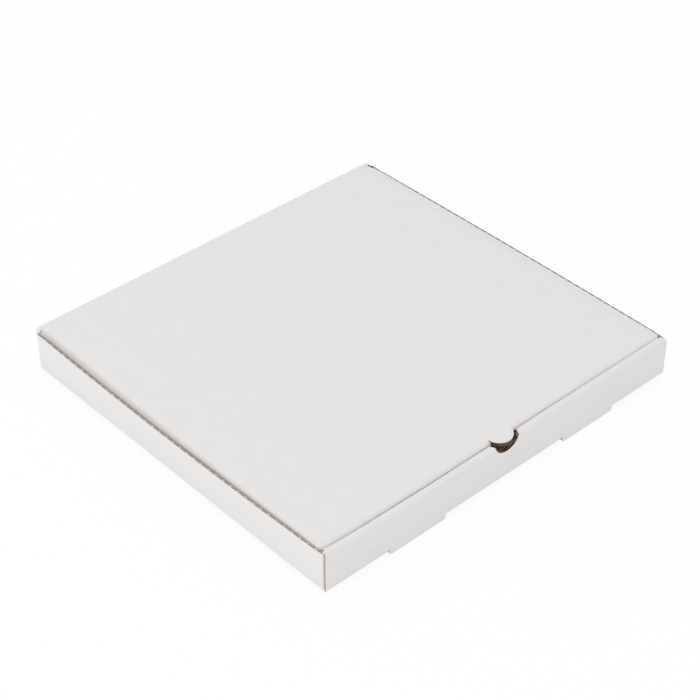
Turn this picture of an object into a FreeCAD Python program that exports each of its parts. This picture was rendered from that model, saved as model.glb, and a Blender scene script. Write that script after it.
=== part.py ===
import FreeCAD, Part, Sketcher
import math
import os
import re

# A shallow pizza box folded from one die-cut blank of single-wall corrugated board.
# X runs along the front, Y from front to rear and Z upwards, in millimetres.
# The origin lies on the surface that the box stands on, in the middle of its plan.
# The flutes of the board run along X, so the cut tops of the side walls show their mouths.

SIZES = [
    ("width", 288.0, "outside width over the side walls, at the corners"),
    ("depth", 273.0, "outside depth, front wall to rear wall"),
    ("height", 31.0, "underside of the floor to the top of the lid at its hinge"),
    ("board", 2.7, "thickness of the board"),
    ("fold_inner", 0.3, "radius of the inner liner in a fold"),
    ("crease", 0.9, "outside radius of the pressed creases round the floor"),
    ("corner_radius", 1.5, "outside radius of the upright folds at the front corners"),
    ("layer_gap", 0.15, "air between two layers that lie on each other"),
    ("pressed_flap", 1.0, "thickness of a corner flap pressed between the front walls"),
    ("end_gap", 0.4, "how far the front wall stops short of the side walls' faces"),
    ("side_drop", 1.5, "underside of the lid to the cut top of a side wall, at the hinge"),
    ("bow", 2.0, "how far a side wall's top edge bulges outwards at its middle"),
    ("corner_flap", 44.0, "length of a corner flap, from the side wall's face"),
    ("corner_rise", 1.0, "cut top of a side wall to the tip of its front corner"),
    ("rear_flap_drop", 3.0, "cut top of a side wall to the top of its rear corner flap"),
    ("roll_drop", 3.3, "top of the lid at its hinge to the top of the rolled front wall"),
    ("roll_front", 1.6, "outside radius of the roll's front crease"),
    ("roll_rear", 3.4, "outside radius of the roll's rear crease"),
    ("floor_gap", 0.3, "air between the inner front wall's lower edge and the floor"),
    ("notch_radius", 9.8, "radius of the thumb notch in the rolled wall"),
    ("notch_depth", 7.8, "depth of the thumb notch below the roll's top"),
    ("foot_place", 72.4, "middle of the front to the middle of each foot"),
    ("foot_length", 46.0, "length of a foot and of the slot beside it"),
    ("foot_taper", 1.2, "how much a foot narrows at each end"),
    ("foot_drop", 3.3, "how far the feet reach below the floor"),
    ("lock_gap", 0.5, "air between a lock tab and each end of its slot"),
    ("hinge_gap", 0.3, "air between the lid's edge and the rear wall that carries it"),
    ("side_gap", 0.3, "air between a side wall and the lid's side flap or the roll's end"),
    ("tuck_gap", 0.3, "air between the inner front wall and the lid's front flap"),
    ("lid_fall", 3.4, "how much lower the lid lies at the front than at its hinge"),
    ("side_flap", 20.0, "height of the lid's side flaps below the lid's underside"),
    ("front_flap", 19.0, "height of the lid's front flap below its fold"),
    ("flap_lean", 4.0, "how far the front flap is folded past the square, in degrees"),
    ("flap_cut", 2.5, "air between the lid's flaps where they meet at a corner"),
    ("flap_taper", 5.0, "how much a lid flap narrows at each end"),
    ("pitch", 6.5, "distance between two flutes of the board"),
    ("liner", 0.55, "thickness of a liner with its glue"),
    ("medium", 0.4, "thickness of the wavy medium between the liners"),
    ("mouth_depth", 2.5, "how deep the flute mouths in the cut tops are drawn"),
    ("tab_width", 16.4, "width of the lid's half-moon thumb tab"),
    ("tab_setback", 0.4, "front face of the box to the tip of the thumb tab"),
]

# Lengths that several pieces share, written in the names of the sheet.
FOLD = "(board + fold_inner)"
CORNER = f"(board + layer_gap + {FOLD})"
NEST = "(pressed_flap + 2 * layer_gap)"
ROLL = f"(2 * board + {NEST})"
ROLL_TOP = "(height - roll_drop)"
UNDER_ROLL = f"({ROLL_TOP} - board - {NEST})"
LOW_CORNER = f"({UNDER_ROLL} - side_gap)"
SIDE_TOP = "(height - board - side_drop)"
SIDE_LENGTH = f"(depth - 2 * {CORNER})"
SIDE_BEND = f"((({SIDE_LENGTH} / 2)^2 + bow^2) / (2 * bow))"
PIVOT_HEIGHT = "(height - board / 2)"
HINGE_REACH = "(board / 2 + hinge_gap)"
LID_WIDTH = "(width - 2 * board - 2 * side_gap)"
LID_REACH = f"(depth - board / 2 - {ROLL} - tuck_gap - {FOLD})"

doc = FreeCAD.newDocument("pizza_box")
sheet = doc.addObject("Spreadsheet::Sheet", "Sizes")
for row, (name, number, note) in enumerate(SIZES, 1):
    sheet.set(f"A{row}", note)
    sheet.set(f"B{row}", str(number))
    sheet.setAlias(f"B{row}", name)
doc.recompute()


def bound(text):
    """Turn a length written with the sheet's names into an expression on the sheet."""
    return re.sub(r"\b(?!(?:cos|sin|tan|asin|floor|deg|rad)\b)([a-z_]+)", r"Sizes.\1", str(text))


def value(text):
    """Work out such a length as a number."""
    return float(sheet.evalExpression(bound(text)))


def plane(body, role):
    """Find one of the three base planes of a body by its role."""
    return next(item for item in body.Origin.OriginFeatures if item.Role == role)


def draw(body, role, name, outlines, lift=None):
    """Draw closed outlines on a base plane, each point held by the sheet.

    A step is (across, up) for a straight run to that point, or (across, up, radius, turn)
    for an arc, where turn is 1 for an arc to the left and -1 for one to the right.
    """
    sketch = body.newObject("Sketcher::SketchObject", name)
    sketch.AttachmentSupport = (plane(body, role), "")
    sketch.MapMode = "FlatFace"
    if lift is not None:
        sketch.setExpression("AttachmentOffset.Base.z", bound(lift))
    for steps in outlines:
        trace(sketch, steps)
    return sketch


def trace(sketch, steps):
    """Add one closed outline to a sketch and tie its points and radii to the sheet."""
    spots = [FreeCAD.Vector(value(step[0]), value(step[1]), 0) for step in steps]
    ends = []
    for number, step in enumerate(steps):
        start, stop = spots[number - 1], spots[number]
        if len(step) == 2:
            edge = sketch.addGeometry(Part.LineSegment(start, stop), False)
            ends.append((edge, 1, 2))
            continue
        radius, turn = value(step[2]), step[3]
        chord = stop - start
        side = FreeCAD.Vector(-chord.y, chord.x, 0).normalize() * turn
        rise = math.sqrt(max(radius**2 - chord.Length**2 / 4, 0.0))
        middle = (start + stop) / 2 + side * (rise - radius)
        first, last = (start, stop) if turn > 0 else (stop, start)
        edge = sketch.addGeometry(Part.Arc(first, middle, last), False)
        ends.append((edge, 1, 2) if turn > 0 else (edge, 2, 1))
        held = sketch.addConstraint(Sketcher.Constraint("Radius", edge, radius))
        sketch.setExpression(f"Constraints[{held}]", bound(step[2]))
    for number, step in enumerate(steps):
        edge, _, stop = ends[number]
        after, start, _ = ends[(number + 1) % len(steps)]
        sketch.addConstraint(Sketcher.Constraint("Coincident", edge, stop, after, start))
        for kind, text in zip(("DistanceX", "DistanceY"), step[:2]):
            number_held = value(text)
            held = sketch.addConstraint(Sketcher.Constraint(kind, -1, 1, edge, stop, number_held))
            sketch.setExpression(f"Constraints[{held}]", bound(text))


def raise_from(body, sketch, name, length, both_ways=False, backwards=False):
    """Add material over a sketch, by a length that the sheet gives."""
    pad = body.newObject("PartDesign::Pad", name)
    pad.Profile = sketch
    pad.SideType = "Symmetric" if both_ways else "One side"
    pad.Reversed = backwards
    pad.setExpression("Length", bound(length))
    return pad


def cut_from(body, sketch, name, length, both_ways=False, backwards=False):
    """Take material away under a sketch, by a length that the sheet gives."""
    doc.recompute()
    before = body.Shape.Volume
    pocket = body.newObject("PartDesign::Pocket", name)
    pocket.Profile = sketch
    pocket.SideType = "Symmetric" if both_ways else "One side"
    pocket.Reversed = backwards
    pocket.setExpression("Length", bound(length))
    doc.recompute()
    if body.Shape.Volume >= before:
        raise RuntimeError(f"{name} cuts nothing")
    return pocket


def mirror(body, name, features):
    """Repeat features of the left side on the right side."""
    copy = body.newObject("PartDesign::Mirrored", name)
    copy.Originals = features
    copy.MirrorPlane = (plane(body, "YZ_Plane"), [""])
    body.Tip = copy
    return copy


def block(left, right, low, high):
    """Give the outline of an upright rectangle."""
    return [(left, low), (right, low), (right, high), (left, high)]


def cut_mouths(tray, name, sign):
    """Cut the flute mouths into the cut top of one side wall.

    Each flute shows a hollow on either side of the wavy medium. The row follows the wall's
    bulge, so it turns about the middle of the circle that the top edge is part of.
    """
    count = f"(floor({SIDE_LENGTH} / pitch) - 1)"
    half = "(pitch / 2 - liner)"
    outside, inside = f"{SIDE_BEND} - liner", f"{SIDE_BEND} - board + liner"
    row = draw(tray, "XY_Plane", f"{name}_mouths", [[
        (f"{sign}({outside})", f"-{half}"),
        (f"{sign}({inside} + medium)", "0"),
        (f"{sign}({outside})", half),
    ], [
        (f"{sign}({inside})", f"pitch / 2 - {half}"),
        (f"{sign}({inside})", f"pitch / 2 + {half}"),
        (f"{sign}({outside} - medium)", "pitch / 2"),
    ]], lift=SIDE_TOP)
    back = "" if sign else "-"
    row.setExpression("AttachmentOffset.Base.x", bound(f"{back}({SIDE_BEND} - width / 2 - bow)"))
    spread = f"(({count} - 1) * pitch / {SIDE_BEND} * 1 rad)"
    row.AttachmentOffset.Rotation = FreeCAD.Rotation(FreeCAD.Vector(0, 0, 1), 1)
    row.setExpression("AttachmentOffset.Rotation.Angle", bound(f"-{spread} / 2"))
    first = cut_from(tray, row, f"{name}_mouth", "mouth_depth")
    pattern = tray.newObject("PartDesign::PolarPattern", f"{name}_mouth_row")
    pattern.Originals = [first]
    pattern.Axis = (row, ["N_Axis"])
    pattern.setExpression("Angle", bound(spread))
    pattern.setExpression("Occurrences", bound(count))
    tray.Tip = pattern


def make_tray():
    """Floor, walls, corner flaps and rolled front wall, folded up from one sheet."""
    tray = doc.addObject("PartDesign::Body", "tray")
    left, front, rear = "-width / 2", "-depth / 2", "depth / 2"

    # The floor with its two side folds, as far as the corner folds.
    floor = draw(tray, "XZ_Plane", "floor_section", [[
        ("width / 2 - crease", "0"),
        ("width / 2", "crease", "crease", 1),
        ("width / 2", FOLD),
        ("width / 2 - board", FOLD),
        (f"width / 2 - {FOLD}", "board", "fold_inner", -1),
        (f"{left} + {FOLD}", "board"),
        (f"{left} + board", FOLD, "fold_inner", -1),
        (left, FOLD),
        (left, "crease"),
        (f"{left} + crease", "0", "crease", 1),
    ]])
    raise_from(tray, floor, "floor", SIDE_LENGTH, both_ways=True)

    # The side wall stands straight on its fold and bulges outwards along its cut top.
    start, stop = f"{front} + {CORNER}", f"{rear} - {CORNER}"
    foot = draw(tray, "XY_Plane", "side_foot", [[
        (left, start), (f"{left} + board", start), (f"{left} + board", stop), (left, stop),
    ]], lift=FOLD)
    top = draw(tray, "XY_Plane", "side_rim", [[
        (left, start, SIDE_BEND, 1),
        (f"{left} + board", start),
        (f"{left} + board", stop, SIDE_BEND, -1),
        (left, stop),
    ]], lift=SIDE_TOP)
    wall = tray.newObject("PartDesign::AdditiveLoft", "side_wall")
    wall.Profile = foot
    wall.Sections = [top]
    wall.Ruled = True

    # The front corner flap is pressed flat, the rear one lies loose behind its wall.
    face = f"{front} + board + layer_gap"
    turn = [(left, start), (left, f"{face} + corner_radius"),
            (f"{left} + corner_radius", face, "corner_radius", 1)]
    flap = draw(tray, "XY_Plane", "front_corner_flap", [turn + [
        (f"{left} + corner_flap", face),
        (f"{left} + corner_flap", f"{face} + pressed_flap"),
        (f"{left} + board", f"{face} + pressed_flap"),
        (f"{left} + board", start),
    ]], lift=FOLD)
    front_flap = raise_from(tray, flap, "front_flap", f"{LOW_CORNER} - {FOLD}")
    tip = draw(tray, "XY_Plane", "front_corner_tip", [turn + [
        (f"{left} + board", face),
        (f"{left} + board", start),
    ]], lift=FOLD)
    front_corner = raise_from(tray, tip, "front_corner",
                              f"{SIDE_TOP} + corner_rise - {FOLD}")
    face = f"{rear} - board - layer_gap"
    flap = draw(tray, "XY_Plane", "rear_corner_flap", [[
        (f"{left} + board", stop),
        (f"{left} + {FOLD}", f"{face} - board", "fold_inner", -1),
        (f"{left} + corner_flap", f"{face} - board"),
        (f"{left} + corner_flap", face),
        (f"{left} + {FOLD}", face),
        (left, stop, FOLD, 1),
    ]], lift=FOLD)
    rear_flap = raise_from(tray, flap, "rear_flap", f"{SIDE_TOP} - rear_flap_drop - {FOLD}")
    mirror(tray, "right_side", [wall, front_flap, front_corner, rear_flap])
    for name, sign in (("left", "-"), ("right", "")):
        cut_mouths(tray, name, sign)

    # The front wall covers the side walls' ends. Its roll turns inwards between the side walls.
    outer = draw(tray, "YZ_Plane", "front_section", [[
        (f"{front} + crease", "0", "crease", 1),
        (start, "0"),
        (start, "board"),
        (f"{front} + {FOLD}", "board"),
        (f"{front} + board", FOLD, "fold_inner", -1),
        (f"{front} + board", ROLL_TOP),
        (f"{front} + roll_front", ROLL_TOP),
        (front, f"{ROLL_TOP} - roll_front", "roll_front", 1),
        (front, "crease"),
    ]])
    raise_from(tray, outer, "front_wall", "width - 2 * end_gap", both_ways=True)
    roll = draw(tray, "YZ_Plane", "roll_section", [[
        (f"{front} + board", ROLL_TOP),
        (f"{front} + board", f"{ROLL_TOP} - board - {NEST} / 2"),
        (f"{front} + board + {NEST} / 2", f"{ROLL_TOP} - board", f"{NEST} / 2", -1),
        (f"{front} + board + {NEST}", f"{ROLL_TOP} - board - {NEST} / 2", f"{NEST} / 2", -1),
        (f"{front} + board + {NEST}", UNDER_ROLL),
        (f"{front} + {ROLL}", UNDER_ROLL),
        (f"{front} + {ROLL}", f"{ROLL_TOP} - roll_rear"),
        (f"{front} + {ROLL} - roll_rear", ROLL_TOP, "roll_rear", 1),
    ]])
    raise_from(tray, roll, "roll", LID_WIDTH, both_ways=True)

    # The inner front wall stands between the side walls, with a lock tab through each slot.
    half = "width / 2 - board - side_gap"
    inside = draw(tray, "XZ_Plane", "inner_front", [
        block(f"-({half})", half, "board + floor_gap", UNDER_ROLL)],
        lift=f"depth / 2 - board - {NEST}")
    raise_from(tray, inside, "inner_front_wall", "board", backwards=True)
    notch = draw(tray, "XZ_Plane", "notch_outline", [[
        ("0", f"{ROLL_TOP} - notch_depth + 2 * notch_radius", "notch_radius", 1),
        ("-notch_radius", f"{ROLL_TOP} - notch_depth + notch_radius", "notch_radius", 1),
        ("0", f"{ROLL_TOP} - notch_depth", "notch_radius", 1),
        ("notch_radius", f"{ROLL_TOP} - notch_depth + notch_radius", "notch_radius", 1),
    ]], lift="depth / 2 + board")
    cut_from(tray, notch, "thumb_notch", f"{ROLL} + 2 * board")

    # Each foot is the tongue that the slot leaves on the front wall's lower edge.
    ends = [(f"{sign}foot_place - foot_length / 2", f"{sign}foot_place + foot_length / 2")
            for sign in ("-", "")]
    slots = [[(near, front), (far, front), (far, slot_end), (near, slot_end)]
             for near, far in ends
             for slot_end in [f"{front} + {ROLL} + floor_gap"]]
    slot = draw(tray, "XY_Plane", "slot_outlines", slots, lift="-board")
    cut_from(tray, slot, "lock_slots", f"{FOLD} + board", backwards=True)
    feet = draw(tray, "XZ_Plane", "foot_outlines", [[
        (f"{near} + foot_taper", "-foot_drop"),
        (f"{far} - foot_taper", "-foot_drop"),
        (far, FOLD),
        (near, FOLD),
    ] for near, far in ends], lift="depth / 2")
    raise_from(tray, feet, "feet", "board", backwards=True)
    locks = draw(tray, "XZ_Plane", "lock_outlines", [
        block(f"{near} + lock_gap", f"{far} - lock_gap", "0", "2 * board")
        for near, far in ends], lift=f"depth / 2 - board - {NEST}")
    raise_from(tray, locks, "lock_tabs", "board", backwards=True)

    # The rear wall stands between the side walls' faces, and its round crest carries the lid.
    back = draw(tray, "YZ_Plane", "rear_section", [[
        (f"{rear} - crease", "0"),
        (rear, "crease", "crease", 1),
        (rear, PIVOT_HEIGHT),
        (f"{rear} - board / 2", "height", "board / 2", 1),
        (f"{rear} - board", PIVOT_HEIGHT, "board / 2", 1),
        (f"{rear} - board", FOLD),
        (f"{rear} - {FOLD}", "board", "fold_inner", -1),
        (stop, "board"),
        (stop, "0"),
    ]])
    raise_from(tray, back, "rear_wall", LID_WIDTH, both_ways=True)
    tray.setExpression("Placement.Base.z", bound("foot_drop"))
    return tray


def make_lid():
    """Lid panel with its side flaps, front flap and thumb tab, drawn about its hinge line."""
    lid = doc.addObject("PartDesign::Body", "lid")
    side = f"{LID_WIDTH} / 2"
    top, under = "board / 2", "-board / 2"
    hem = f"{under} - side_flap"

    # The panel and its two side flaps share one section across the box.
    section = draw(lid, "XZ_Plane", "lid_section", [[
        (f"-({side}) + {FOLD}", top),
        (f"-({side})", f"{top} - {FOLD}", FOLD, 1),
        (f"-({side})", hem),
        (f"-({side}) + board", hem),
        (f"-({side}) + board", f"{under} - fold_inner"),
        (f"-({side}) + {FOLD}", under, "fold_inner", -1),
        (f"{side} - {FOLD}", under),
        (f"{side} - board", f"{under} - fold_inner", "fold_inner", -1),
        (f"{side} - board", hem),
        (side, hem),
        (side, f"{top} - {FOLD}"),
        (f"{side} - {FOLD}", top, FOLD, 1),
    ]], lift=HINGE_REACH)
    raise_from(lid, section, "lid_panel", f"{LID_REACH} - {HINGE_REACH}")

    # The side flaps end clear of the rear corner flaps and of the front flap.
    back_end = "-(1.5 * board + layer_gap + side_gap + flap_cut)"
    front_end = f"-({LID_REACH} + {FOLD} - board - flap_cut)"
    below = f"{top} - {FOLD}"
    ends = draw(lid, "YZ_Plane", "side_flap_ends", [
        [(back_end, below), (f"{back_end} - flap_taper", hem), ("board", hem), ("board", below)],
        [(front_end, below), (f"-({LID_REACH}) - board", below),
         (f"-({LID_REACH}) - board", hem), (f"{front_end} + flap_taper", hem)],
    ])
    cut_from(lid, ends, "side_flap_cuts", "width", both_ways=True)

    # The front flap leans in, so that its lower edge swings clear of the inner front wall.
    centre = f"(-({LID_REACH}))"
    pivot = f"({under} - fold_inner)"
    lean = "flap_lean * 1 deg"
    across, down = f"sin({lean})", f"cos({lean})"
    tuck = draw(lid, "YZ_Plane", "front_flap_section", [[
        (centre, top),
        (f"{centre} - {FOLD} * {down}", f"{pivot} - {FOLD} * {across}", FOLD, 1),
        (f"{centre} - {FOLD} * {down} + front_flap * {across}",
         f"{pivot} - {FOLD} * {across} - front_flap * {down}"),
        (f"{centre} - fold_inner * {down} + front_flap * {across}",
         f"{pivot} - fold_inner * {across} - front_flap * {down}"),
        (f"{centre} - fold_inner * {down}", f"{pivot} - fold_inner * {across}"),
        (centre, under, "fold_inner", -1),
    ]])
    raise_from(lid, tuck, "front_flap_panel", f"{LID_WIDTH} - 2 * {FOLD}", both_ways=True)
    wedge = [(f"{side} - {FOLD}", pivot), (side, pivot), (side, f"2 * ({hem})"),
             (f"{side} - {FOLD} - flap_taper", f"2 * ({hem})")]
    wedges = [wedge, [(f"-({x})", z) for x, z in wedge]]
    ends = draw(lid, "XZ_Plane", "front_flap_ends", wedges, lift=f"{LID_REACH} + 2 * board")
    cut_from(lid, ends, "front_flap_cuts", "2 * board + fold_inner")

    # The thumb tab stays in the lid's plane and leaves a half-moon hole in the front flap.
    half = "(tab_width / 2)"
    reach = f"({ROLL} + tuck_gap - tab_setback)"
    bend = f"(({half}^2 + {reach}^2) / (2 * {reach}))"
    root = f"(-({LID_REACH} + {FOLD}))"
    hole = draw(lid, "XZ_Plane", "tab_hole", [[
        (f"-{half}", "board"),
        (f"-{half}", below),
        ("0", f"{below} - {reach}", bend, 1),
        (half, below, bend, 1),
        (half, "board"),
    ]], lift=f"{LID_REACH} + 2 * board")
    cut_from(lid, hole, "tab_window", "2 * board")
    tab = draw(lid, "XY_Plane", "tab_outline", [[
        (f"-{half}", f"{root} + {FOLD}"),
        (f"-{half}", root),
        ("0", f"{root} - {reach}", bend, 1),
        (half, root, bend, 1),
        (half, f"{root} + {FOLD}"),
    ]], lift=under)
    raise_from(lid, tab, "thumb_tab", "board")

    # The lid turns about the middle of the rear wall's crest and falls a little to the front.
    lid.setExpression("Placement.Base.y", bound("depth / 2 - board / 2"))
    lid.setExpression("Placement.Base.z", bound(f"foot_drop + {PIVOT_HEIGHT}"))
    lid.Placement.Rotation = FreeCAD.Rotation(FreeCAD.Vector(1, 0, 0), 1)
    lid.setExpression("Placement.Rotation.Angle", bound("asin(lid_fall / depth)"))
    return lid


pieces = [make_tray(), make_lid()]
doc.recompute()
failed = [item.Label for item in doc.Objects if {"Invalid", "Error"} & set(item.State)]
if failed:
    raise RuntimeError(f"failed: {failed}")
os.makedirs("parts", exist_ok=True)
for piece in pieces:
    shape = piece.Shape
    if shape.isNull() or not shape.isValid() or len(shape.Solids) != 1:
        raise RuntimeError(f"{piece.Label} is not one sound solid")
    shape.exportStep(f"parts/{piece.Label}.step")
    print(piece.Label, round(shape.Volume), shape.BoundBox)
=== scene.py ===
import logging
from dataclasses import dataclass, field
from enum import Enum

import bpy
import numpy as np
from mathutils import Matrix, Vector


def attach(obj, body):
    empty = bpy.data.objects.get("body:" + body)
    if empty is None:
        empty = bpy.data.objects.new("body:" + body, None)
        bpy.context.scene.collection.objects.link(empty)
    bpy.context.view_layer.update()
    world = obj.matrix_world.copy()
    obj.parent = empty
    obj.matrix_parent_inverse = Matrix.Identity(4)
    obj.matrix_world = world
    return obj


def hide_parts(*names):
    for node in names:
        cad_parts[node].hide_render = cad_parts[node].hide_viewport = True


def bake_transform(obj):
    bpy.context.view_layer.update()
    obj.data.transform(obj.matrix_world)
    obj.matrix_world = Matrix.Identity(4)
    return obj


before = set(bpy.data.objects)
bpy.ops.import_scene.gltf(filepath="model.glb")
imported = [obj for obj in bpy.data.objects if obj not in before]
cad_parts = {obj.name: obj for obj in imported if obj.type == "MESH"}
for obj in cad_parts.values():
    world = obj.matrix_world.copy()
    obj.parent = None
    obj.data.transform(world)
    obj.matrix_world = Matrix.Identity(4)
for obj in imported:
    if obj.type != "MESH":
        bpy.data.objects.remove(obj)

# A shallow pizza box folded from one blank of white-faced B flute board, lid closed.
# Shapes are worked out in millimetres in the frame's axes and become metres in the mesh:
# X along the front, Y to the rear, Z up from the feet. The flutes of the board run along X.

LOG = logging.getLogger("pizza_box")
MM = 0.001
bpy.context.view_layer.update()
Array = np.ndarray
TINY = 1e-6

# Half width of the slit between the two middle columns where a cut-out is closed.
SLIT = 0.6
# The room round the thumb notch: its half width, its lowest height and its rearmost place.
NOTCH_HALF, NOTCH_LOW, NOTCH_BACK = 14.0, 20.0, -126.0
# The room round the hinge: its foremost place, its lowest height and where its ends start.
HINGE_FRONT, HINGE_LOW, HINGE_HALF = 130.0, 28.5, 138.0
# Thinnest board whose groove still shows, and the board that is too thin for any groove.
THIN, PRESSED_FLAT = 1.0, 0.7


class Face(Enum):
    """The material places of every piece of board."""

    OUTER = 0
    INNER = 1
    CUT = 2
    FLUTE = 3
    # The thumb notch's rims, in a dark brown that paints the shade in its hollows.
    NOTCH_SHADE = 4


@dataclass(frozen=True)
class Board:
    """Single-wall B flute board: a white top liner, a wavy medium and a brown inner liner.

    Attributes:
        fold: radius of a round fold's outer face; fold_inner is the inner face's.
        crease: radius of a sharp fold's outer face.
        mouth: depth of the groove in an edge across the flutes; lip is that along them.
    """

    thickness: float = 2.7
    liner: float = 0.38
    medium: float = 0.4
    pitch: float = 6.5
    fold: float = 3.0
    fold_inner: float = 0.3
    crease: float = 0.9
    mouth: float = 1.7
    lip: float = 0.12

    def wave(self, flat: Array) -> Array:
        """Height of the medium from -1 to 1 across the flutes, its crests short and flat."""
        return np.clip(1.7 * np.sin(2 * np.pi * flat / self.pitch) - 0.7, -1.0, 1.0)


BOARD = Board()


def stations(marks: list[float] | Array, step: float) -> Array:
    """Spread grid lines so that every mark has one and no gap is wider than the step.

    Args:
        marks: places that need a grid line.
        step: widest gap between two lines.

    Returns:
        The places of all lines in rising order.
    """
    places = np.unique(np.round(np.asarray(marks, float), 6))
    runs = [np.linspace(low, high, max(int(np.ceil((high - low) / step)), 1), endpoint=False)
            for low, high in zip(places[:-1], places[1:])]
    return np.concatenate(runs + [places[-1:]])


def smooth(value: Array) -> Array:
    """Ease from 0 to 1 as the value goes from 0 to 1."""
    held = np.clip(value, 0.0, 1.0)
    return held * held * (3 - 2 * held)


def joined(*axes: Array | float) -> Array:
    """Join coordinates that broadcast against each other into points."""
    return np.stack(np.broadcast_arrays(*axes), -1)


def unit(vectors: Array) -> Array:
    """Bring each vector of a list to length one."""
    return vectors / np.maximum(np.linalg.norm(vectors, axis=1), TINY)[:, None]


def between(places: Array, low: float, high: float) -> Array:
    """Tell which places lie between two others."""
    return (places > low) & (places < high)


def part_columns(places: Array, opening: Array, near: float) -> Array:
    """Move the grid columns beside a cut-out so that the two middle ones follow its edge.

    A column that stood at a share of the way from the slit to the last moved column stands at
    the same share of the way from the edge: opening + (near - opening) * share.

    Args:
        places: signed places of the columns, with zero at the middle of the cut-out.
        opening: half width of the cut-out at each row.
        near: place of the last column that moves.

    Returns:
        The place of each column at each row.
    """
    return np.sign(places)[:, None] * (
        opening + (near - opening) * (np.abs(places)[:, None] - SLIT) / (near - SLIT))


class FoldedLine:
    """A line in a plane with straight runs and round folds, known at any distance along it."""

    def __init__(self, corners: list[tuple[float, float]], radii: list[float]) -> None:
        """Work out a fine table of the line.

        Every fold is an arc that touches both runs; it starts radius * tan(turn / 2) before
        the corner. Along an arc the heading grows evenly with distance.

        Args:
            corners: the ends and the corners of the line, without the folds.
            radii: the radius of the fold at each corner between the ends.
        """
        spots = np.array(corners, float)
        runs = np.diff(spots, axis=0)
        heads = np.unwrap(np.arctan2(runs[:, 1], runs[:, 0]))
        turns = np.diff(heads)
        trims = np.array(radii) * np.abs(np.tan(turns / 2))
        reach = np.hypot(runs[:, 0], runs[:, 1])
        reach[1:] -= trims
        reach[:-1] -= trims
        arcs = np.array(radii) * np.abs(turns)
        lengths = np.zeros(2 * len(reach) - 1)
        lengths[0::2], lengths[1::2] = reach, arcs
        self.marks = np.concatenate([[0.0], np.cumsum(lengths)])
        self.headings = np.repeat(heads, 2)
        self.fine = stations(self.marks, 0.05)
        middle = (self.fine[1:] + self.fine[:-1]) / 2
        heading = np.interp(middle, self.marks, self.headings)
        steps = np.diff(self.fine)[:, None] * np.stack([np.cos(heading), np.sin(heading)], 1)
        self.table = spots[0] + np.concatenate([np.zeros((1, 2)), np.cumsum(steps, axis=0)])

    def at(self, distance: Array) -> tuple[Array, Array]:
        """Give the points of the line.

        Args:
            distance: distances along the line.

        Returns:
            The two coordinates of each point.
        """
        return (np.interp(distance, self.fine, self.table[:, 0]),
                np.interp(distance, self.fine, self.table[:, 1]))

    def beside(self, distance: Array, other: "FoldedLine") -> tuple[Array, Array]:
        """Give the points of another line that answer to distances on this one.

        Both lines have the same folds in the same order, and each run and fold of one is
        spread evenly over the same run or fold of the other.

        Args:
            distance: distances along this line.
            other: the line on the other face of the board.

        Returns:
            The two coordinates of each point of the other line.
        """
        return other.at(np.interp(distance, self.marks, other.marks))


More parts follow.
